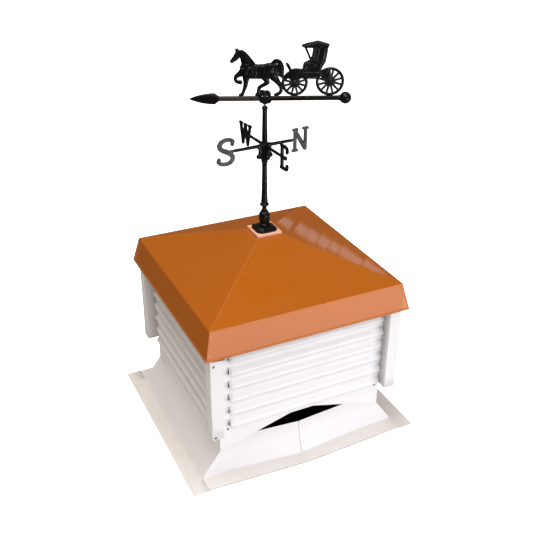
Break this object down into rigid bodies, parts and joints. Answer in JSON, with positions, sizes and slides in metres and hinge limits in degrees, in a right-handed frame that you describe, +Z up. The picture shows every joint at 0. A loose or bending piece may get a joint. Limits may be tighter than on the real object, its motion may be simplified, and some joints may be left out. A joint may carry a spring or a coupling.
{
  "type": "barn cupola",
  "caption": "Square louvred sheet-metal roof cupola with a low hipped copper-coloured roof, a flashing base cut for the ridge, and a turning horse-and-buggy weathervane.",
  "frame": {"origin": "centre of the footprint, on the underside of the base flange", "axes": "+Z up, -Y towards the front face with its ridge opening, +X to the right"},
  "size_m": [0.936, 0.842, 1.4753],
  "materials": {
    "white_sheet": "satin white baked enamel",
    "copper_sheet": "glossy copper-coloured baked enamel",
    "apex_copper": "glossy pale copper",
    "black_casting": "cast aluminium, black satin powder coat",
    "black_letters": "cast aluminium, black, slightly dusty",
    "spindle_steel": "bare steel"
  },
  "bodies": {
    "housing": {"apex_plate": "apex_copper", "back_left_corner_trim": "white_sheet", "back_left_skirt": "white_sheet", "back_louvred_wall": "white_sheet", "back_right_corner_trim": "white_sheet", "back_right_skirt": "white_sheet", "back_roof_panel": "copper_sheet", "base_left_panel": "white_sheet", "base_right_panel": "white_sheet", "direction_hub": "black_casting", "east_arm": "black_letters", "front_left_corner_trim": "white_sheet", "front_left_skirt": "white_sheet", "front_louvred_wall": "white_sheet", "front_right_corner_trim": "white_sheet", "front_right_skirt": "white_sheet", "front_roof_panel": "copper_sheet", "left_louvred_wall": "white_sheet", "left_roof_panel": "copper_sheet", "letter_e": "black_letters", "letter_n": "black_letters", "letter_s": "black_letters", "letter_w": "black_letters", "lower_mast": "black_casting", "mast_clamp": "black_casting", "north_arm": "black_letters", "right_louvred_wall": "white_sheet", "right_roof_panel": "copper_sheet", "south_arm": "black_letters", "spindle": "spindle_steel", "upper_mast": "black_casting", "vane_mount": "black_casting", "west_arm": "black_letters"},
    "vane": {"arrow_head": "black_casting", "buggy_body": "black_casting", "buggy_hood": "black_casting", "front_wheel": "black_casting", "horse": "black_casting", "rear_wheel": "black_casting", "tail_ball": "black_casting", "vane_bar_front": "black_casting", "vane_bar_rear": "black_casting", "vane_socket": "black_casting"}
  },
  "joints": [
    {"name": "vane_turn", "type": "hinge", "parent": "housing", "child": "vane", "pos_m": [0, 0, 1.2625], "axis": [0, 0, 1], "continuous": true}
  ]
}
